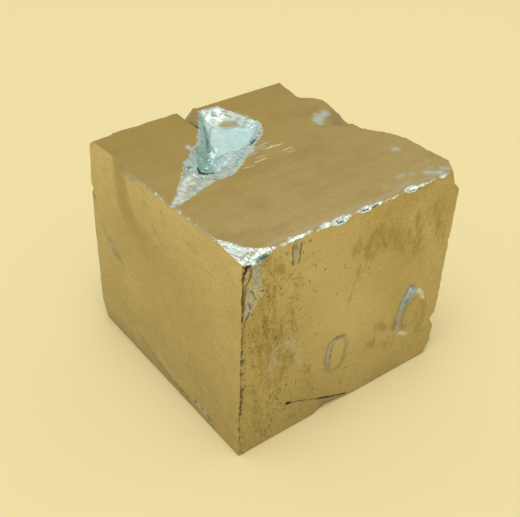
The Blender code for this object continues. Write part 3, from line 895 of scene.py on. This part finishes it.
def blend(share, first, second):
    """A colour between two colours."""
    first, second = (c if isinstance(c, Signal) else (*c, 1.0) for c in (first, second))
    return Signal.node("ShaderNodeMix", {"data_type": "RGBA"}, {0: share, 6: first, 7: second}, 2)


def layered(base, *layers):
    """A base colour with other colours laid over it in turn, each by its share."""
    for share, colour in layers:
        base = blend(share, base, colour)
    return base


def clouds(vector, scale, detail=2.0, roughness=0.5):
    values = {"Vector": vector, "Scale": scale, "Detail": detail, "Roughness": roughness}
    return Signal.node("ShaderNodeTexNoise", {}, values)


def along_lines(along, across, detail, roughness=0.5):
    """Clouds drawn out along the growth lines, by how often they change along and across them."""
    values = {"Vector": line_place, "Scale": (along, across, 1.0)}
    return clouds(Signal.node("ShaderNodeMapping", {}, values), 1.0, detail, roughness)


pyrite = bpy.data.materials.new("pyrite")
pyrite.use_nodes = True
Signal.tree = pyrite.node_tree
pyrite.node_tree.nodes.clear()

# Noises in the whole crystal, noises along its growth lines, and the grain of its fresh breaks

HACKLE_TURN = radians(70)
HACKLE_SCALE = (600.0, 5600.0, 2200.0)

object_place = Signal.node("ShaderNodeTexCoord", {}, {}, "Object")
line_place = Signal.node("ShaderNodeUVMap", {"uv_map": "growth_lines"}, {})
wide_tone = clouds(object_place, 90, 3)
broad_tone = clouds(object_place, 160, 4, 0.6)
middle_tone = clouds(object_place, 350, 4, 0.6)
vein_tone = clouds(object_place, 430, 4, 0.6)
fine_tone = clouds(object_place, 800, 3)
specks = clouds(object_place, 1900, 2, 0.6)
grain = clouds(object_place, 2600, 3, 0.6)
dust = clouds(object_place, 5200, 2, 0.6)
ruled = along_lines(0.05, 2.4, 2)
hatched = along_lines(0.28, 4.0, 3)
smeared = along_lines(0.3, 0.9, 5, 0.7)
flecked = along_lines(1.6, 3.0, 3, 0.6)
swept = along_lines(0.05, 0.3, 4, 0.6)
cracked = along_lines(0.7, 1.8, 3, 0.6)
turned = Signal.node("ShaderNodeVectorRotate", {"rotation_type": "Z_AXIS"},
                     {"Vector": object_place, "Angle": HACKLE_TURN})
drawn_out = Signal.node("ShaderNodeMapping", {}, {"Vector": turned, "Scale": HACKLE_SCALE})
hackled = clouds(drawn_out, 1.0, 4, 0.65)
jitter = (fine_tone - 0.5) * 0.9 + (grain - 0.5) * 0.5
soft_jitter = (middle_tone - 0.5) * 2.2 + jitter
streaky = hatched - 0.5
top_side = kept("top_side")
left_side = kept("left_side")
near_side = kept("near_side")
near_edge = kept("near_edge")
lowness = kept("lowness")


def shown(kind, noise, ragged, low, high):
    """How much of a kind of mark shows. A noise moves the depth inside it, which then counts
    from low to high."""
    return step_up(kept(kind) + noise * ragged, low, high)


worn = shown("worn", jitter, 0.6, -0.1, 0.2)
floor = shown("floor", jitter, 0.4, 0.0, 0.3)
hollow_reflection = shown("hollow_reflection", jitter, 0.5, 0.0, 0.5)
crest = shown("crest", jitter, 1.0, 0.0, 0.5)
scar = shown("scar", jitter, 0.8, -0.2, 0.4)
cold = shown("cold", jitter, 1.2, 0.0, 1.0)
seam_shade = shown("seam_shade", jitter, 0.9, -0.1, 0.5)
rim = shown("rim", jitter, 0.9, -0.4, 0.5)
glint_spot = shown("glint_spot", jitter, 1.0, -0.1, 0.5)
line = shown("line", jitter, 0.4, 0.0, 0.12)
peel = shown("peel", jitter, 0.5, 0.0, 0.1)
rust = shown("rust", jitter, 0.6, 0.0, 0.2)
pit = shown("pit", jitter, 0.9, 0.0, 0.3)
crack_and_shade = shown("crack_and_shade", jitter, 0.3, 0.0, 0.15)
frost = shown("frost", soft_jitter, 0.5, -0.2, 0.5)
blue = shown("blue", soft_jitter, 0.7, -0.3, 1.0)
teal = shown("teal", soft_jitter, 0.8, -0.2, 0.8)
icy = shown("icy", soft_jitter, 0.9, -0.3, 0.5)
shade = shown("shade", soft_jitter, 0.3, -1.0, 0.8)
ledge_shade = shown("ledge_shade", soft_jitter, 0.3, 0.0, 0.3)
fresh = step_up(kept("fresh") + jitter * 0.4 + streaky * 0.8 * top_side, -0.05, 0.06)
bronze = step_up(kept("bronze") * 0.7 + streaky * 6.0, 0.0, 0.9)
streaks = step_up(kept("bronze") * 1.5 + streaky * 7.0, 0.4, 1.4)
pearl_glint = step_up(kept("pearl_glint") * 0.8 + soft_jitter * 1.2, -0.2, 0.7)
scratch_glint = step_up(kept("scratch_glint") + jitter * 0.3 + streaky * 0.8, 0.0, 0.2)
ghost = step_up(kept("ghost") + streaky * 3.4 + jitter * 0.8, -0.2, 0.8)
stain = step_up(kept("stain") * 0.5 + (smeared - 0.5) * 3.2 + jitter * 0.9, 0.0, 0.9)
fleck = step_up(flecked + kept("stain") * 0.04, 0.62, 0.70) * step_up(middle_tone, 0.42, 0.55)
speck = step_up(specks + near_side * 0.05, 0.67, 0.73)
crackle = step_up(abs(cracked - 0.52), 0.012, 0.004)
veined = step_up(middle_tone, 0.46, 0.56) * step_up(near_side + kept("stain") * 0.1, 0.2, 0.6)
veins = step_up(abs(vein_tone - 0.5), 0.016, 0.006) * veined
grime = step_up(near_edge * 0.25 + flecked * 1.2 - lowness * 0.08, 0.76, 0.88)
grime = grime * step_up(near_edge, 0.0, 0.4)

sides = 1.0 - top_side * 0.65
# Painted light: the top gets its own copy of the brass, lighter at the front and darker and browner
# towards the back; the brown clouds over it are tarnish
top_brass_and_light = layered(
    blend(kept("farness") + (wide_tone - 0.5) * 0.8, BRASS_TOP_LIT, BRASS_TOP_FAR_SHADED),
    (step_up(swept, 0.42, 0.68) * 0.28, TOP_BROWN),
    (step_up(broad_tone, 0.48, 0.66) * 0.35, TOP_BROWN),
)
brass = layered(
    blend(step_up(wide_tone, 0.35, 0.65), BRASS_DEEP, BRASS),
    (top_side * 0.9, top_brass_and_light),
    (step_up(ruled, 0.5, 0.75) * 0.3, BRASS_DEEP),
    (step_up(hatched, 0.5, 0.72) * (0.46 - top_side * 0.34), STAIN_BROWN),
    (step_up(fine_tone, 0.35, 0.65) * 0.25 * sides, BRASS_DEEP),
    (step_up(grain, 0.46, 0.7) * 0.42 * sides, PALE_BRASS_AND_SHEEN),
    (step_up(grain, 0.5, 0.3) * 0.4 * sides, STAIN_BROWN),
    (step_up(dust, 0.46, 0.66) * 0.7 * sides, STAIN_BROWN),
    # Painted highlight: a broad paler band down the front face
    (kept("pale_highlight") * 0.55, PALE_BRASS_AND_SHEEN),
    # Painted light: the left face is paler near its top and fades to none lower down
    (left_side * (0.72 - lowness * 0.95), PALE_BRASS_AND_SHEEN),
    (step_up(middle_tone, 0.5, 0.7) * 0.3 * sides, BRASS_DEEP),
    # Painted shade: a broad duskier band on the left face
    (kept("dusk_shade") * 0.34, STAIN_BROWN),
    (near_side * 0.2, STAIN_BROWN),
    (shade * 0.8, SHADE_BROWN),
    # Painted shade on the ledge, the notch and the chip facets
    (ledge_shade * 0.5, SHADED_OLIVE),
    # Painted shade: the faces turn darker and greyer towards the foot, a little more on the left face
    (lowness * 0.32 + left_side * 0.04, SHADED_OLIVE),
    (step_up(smeared, 0.48, 0.66) * left_side * 0.25, STAIN_BROWN),
    (stain * kept("front_side") * 0.8, STAIN_BROWN),
    (ghost * 0.65, GHOST_GREY),
    (fleck * 0.5 * sides, LINE_BROWN),
    (speck * 0.75 * sides, LINE_BROWN),
    (veins * 0.7, LINE_BROWN),
    (grime * 0.8, LINE_BROWN),
    (worn * 0.6, WORN_GREY),
)
silver = layered(
    blend(step_up(fine_tone, 0.32, 0.68), SILVER_BLUE, SILVER),
    # Faint random brown patches, in the colour of the hollow's painted reflection
    (step_up(middle_tone, 0.5, 0.7) * 0.2, HOLLOW_REFLECTED_BROWN),
    (teal * 0.85, blend(step_up(fine_tone, 0.42, 0.56) * 0.45, TEAL, SILVER_BLUE)),
    (icy * 0.85, blend(step_up(fine_tone, 0.4, 0.6) * 0.5, ICE, SILVER_BLUE)),
    (bronze * 0.8, BRONZE),
    # Painted glints
    (pearl_glint * 0.85 * (1.0 - teal), PEARL_GLINT),
    # Painted shade and painted glints on the small facets of the fresh breaks
    (step_up(hackled, 0.52, 0.64) * 0.75, SILVER_FACET_SHADE),
    (step_up(hackled, 0.44, 0.36) * 0.6, GLINT),
    (floor, blend(step_up(fine_tone, 0.4, 0.62) * 0.5, FLOOR_BLUE, SILVER_BLUE)),
    (floor * step_up(grain, 0.55, 0.7) * 0.5, ICE),
    (crest, SILVER),
    # Painted reflection: the hollow is brown
    (hollow_reflection * 0.9, HOLLOW_REFLECTED_BROWN),
    # Painted shade along the seams of the break
    (seam_shade, SEAM_SHADE_TEAL),
)
peeled = layered(
    blend(step_up(middle_tone + (fine_tone - 0.5) * 0.6, 0.45, 0.6), PEEL_GREY, BRASS),
    (step_up(dust, 0.5, 0.66) * 0.6, LINE_BROWN),
    (frost * 0.8, FROST),
    (crackle * 0.9, LINE_BROWN),
)
base = layered(
    blend(fresh, brass, silver),
    (streaks * (1.0 - fresh) * 0.7, SILVER),
    (scar * 0.85, blend(step_up(fine_tone, 0.36, 0.52), TROUGH_DARK, SCAR_GREY)),
    (blue * 0.8, SMUDGE_BLUE),
    (cold * 0.9, blend(step_up(fine_tone, 0.45, 0.65) * 0.5, SCAR_BLUE, ICE)),
    (peel, peeled),
    # Painted glints on the spots
    (glint_spot * 0.75, GLINT),
    # Painted highlight on the scratches
    (scratch_glint * 0.9, SCRATCH_GLINT),
    (rim * 0.4, LINE_BROWN),
    (line * 0.8, LINE_BROWN),
    (rust, RUST),
    # Painted shade in the pits, mixed with brown
    (pit * 0.7, blend(step_up(grain, 0.4, 0.6), PIT_SHADE_DARK, LINE_BROWN)),
    # Painted shade along the seams outside fresh breaks
    (seam_shade * (1.0 - fresh) * 0.8, SEAM_SHADE_TEAL),
    # Black for the dark cracks, and painted shade in the slot, the crevice and under the chips
    (crack_and_shade, CRACK_AND_SHADE_BLACK),
)

# Fresh breaks are a little smoother than the old brass, rust, cracks and the painted shade in
# crevices are dull and not metal, and the relief is finer than the mesh

SATIN = 0.40
RELIEF_HEIGHT = 0.00014
RELIEF_STRENGTH = 0.5

roughness = (SATIN + (fine_tone - 0.5) * 0.15 - fresh * 0.05 + floor * 0.08 + scar * 0.1
             + rust * 0.4 + crack_and_shade * 0.4 + worn * 0.2 + ledge_shade * 0.15)
metal = (1.0 - rust * 0.8 - crack_and_shade * 0.9 - fresh * 0.35 - floor * 0.2 - scar * 0.4 - blue * 0.3
         - peel * 0.3)
broken = fresh * (1.0 - floor * 0.85)
relief = (ruled * 0.5 + hatched * 0.8 + grain * 0.6 + middle_tone * 0.5 - stain * 0.15 - fleck * 0.5
          + broken * (fine_tone * 1.6 + hackled * 2.0) + peel * (fine_tone * 2.0 + grain))
normal = Signal.node("ShaderNodeBump", {}, {
    "Strength": RELIEF_STRENGTH, "Distance": RELIEF_HEIGHT, "Height": relief})
finish = Signal.node("ShaderNodeBsdfPrincipled", {}, {
    "Base Color": base, "Metallic": metal, "Roughness": roughness, "Normal": normal})
Signal.node("ShaderNodeOutputMaterial", {}, {"Surface": finish})

crystal.data.materials.append(pyrite)
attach(crystal, "root")
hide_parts("pyrite_cube")


# The table and the light
# A wide sheet of pale cream card, lit softly from above in a room of the same warm colour.

CARD_SIZE = 3.0
CARD_CREAM = (0.815, 0.705, 0.397, 1.0)
CARD_ROUGHNESS = 0.9
CARD_SHEEN = 0.1
ROOM_COLOUR = (0.655, 0.608, 0.495, 1.0)
PANEL_COLOUR = (0.92, 0.97, 1.0)
PANEL_PLACE = Vector((-0.16, -0.18, 1.4))
PANEL_AIM = Vector((0, 0, 0.02))
PANEL_SIZE = 0.9
PANEL_POWER = 10.9

card_mesh = bpy.data.meshes.new("card")
half = CARD_SIZE / 2
card_mesh.from_pydata(
    [(-half, -half, 0), (half, -half, 0), (half, half, 0), (-half, half, 0)], [], [(0, 1, 2, 3)])
card = bpy.data.objects.new("card", card_mesh)
bpy.context.scene.collection.objects.link(card)
card_material = bpy.data.materials.new("card")
card_material.use_nodes = True
card_shader = card_material.node_tree.nodes["Principled BSDF"]
card_shader.inputs["Base Color"].default_value = CARD_CREAM
card_shader.inputs["Roughness"].default_value = CARD_ROUGHNESS
card_shader.inputs["Specular IOR Level"].default_value = CARD_SHEEN
card_mesh.materials.append(card_material)

world = bpy.data.worlds.new("soft_room")
bpy.context.scene.world = world
world.use_nodes = True
world.node_tree.nodes["Background"].inputs["Color"].default_value = ROOM_COLOUR
world.node_tree.nodes["Background"].inputs["Strength"].default_value = 1.0

panel_light = bpy.data.lights.new("overhead_panel", "AREA")
panel_light.size = PANEL_SIZE
panel_light.energy = PANEL_POWER
panel_light.color = PANEL_COLOUR
panel = bpy.data.objects.new("overhead_panel", panel_light)
panel.location = PANEL_PLACE
panel.rotation_euler = (PANEL_AIM - PANEL_PLACE).to_track_quat("-Z", "Y").to_euler()
bpy.context.scene.collection.objects.link(panel)

bpy.context.scene.view_settings.view_transform = "Standard"
